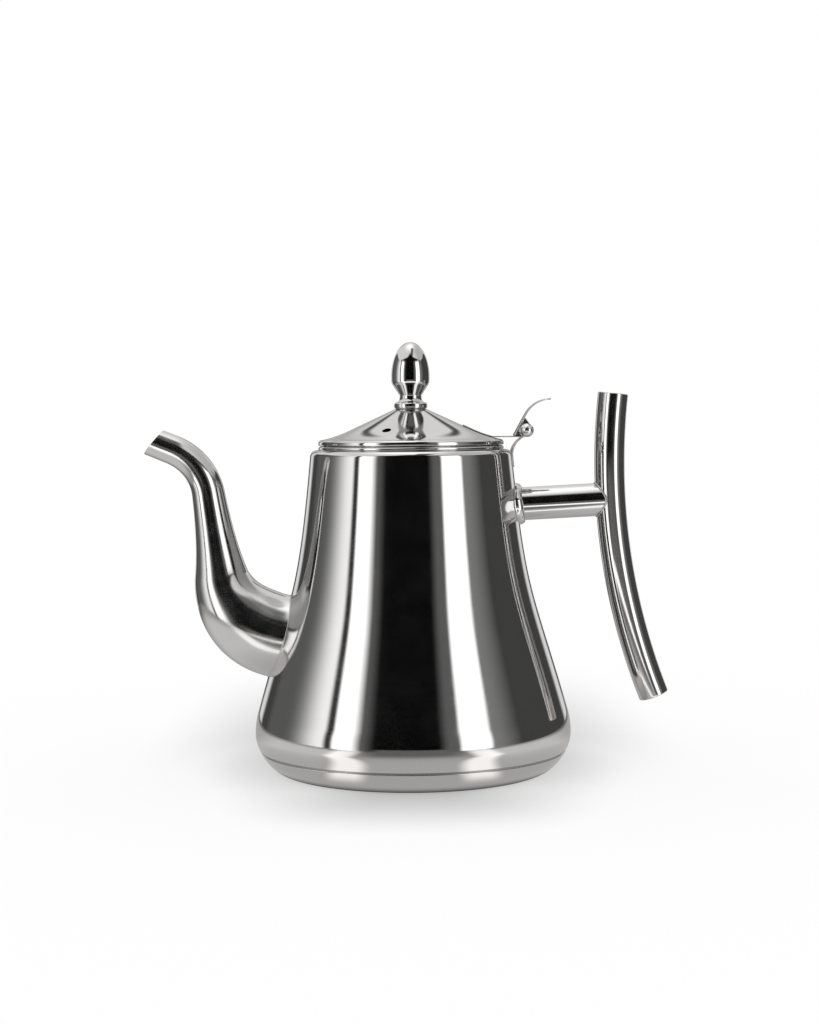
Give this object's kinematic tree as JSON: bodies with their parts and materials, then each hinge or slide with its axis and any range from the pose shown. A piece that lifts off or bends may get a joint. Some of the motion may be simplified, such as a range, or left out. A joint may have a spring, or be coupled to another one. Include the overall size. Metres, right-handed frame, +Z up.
{
  "type": "gooseneck kettle",
  "caption": "Polished stainless pouring kettle with a slim swan-neck spout, a bowed side handle, a hinged lid with an egg-shaped knob and a thumb lever.",
  "frame": {"origin": "centre of the flat foot that the kettle stands on", "axes": "+Z up along the body's axis, -X towards the spout, +X towards the handle, +Y away from the viewer of the picture"},
  "size_m": [0.2614, 0.158, 0.2138],
  "materials": {
    "polished_steel": "mirror polished stainless steel",
    "satin_steel": "satin stainless steel of the inner pieces and fasteners",
    "disc_aluminium": "plain rolled aluminium, sealed inside the base"
  },
  "bodies": {
    "kettle": {"body_shell": "polished_steel", "base_pan": "satin_steel", "heat_disc": "disc_aluminium", "base_cap": "polished_steel", "spout": "polished_steel", "handle_strut": "polished_steel", "handle_grip": "polished_steel", "handle_top_cap": "polished_steel", "handle_bottom_cap": "polished_steel", "hinge_bracket": "polished_steel", "hinge_pin": "satin_steel", "pin_ball_front": "polished_steel", "pin_ball_rear": "polished_steel"},
    "lid": {"lid_shell": "polished_steel", "lid_skirt": "satin_steel", "lid_hinge_leaf": "polished_steel", "lid_knuckle": "polished_steel", "thumb_lever": "polished_steel", "knob_collar": "polished_steel", "knob": "polished_steel", "knob_washer": "satin_steel", "knob_screw": "satin_steel"}
  },
  "joints": [
    {"name": "lid_hinge", "type": "hinge", "parent": "kettle", "child": "lid", "pos_m": [0.0573, 0, 0.16952], "axis": [0, 1, 0], "range_deg": [0, 100]}
  ]
}
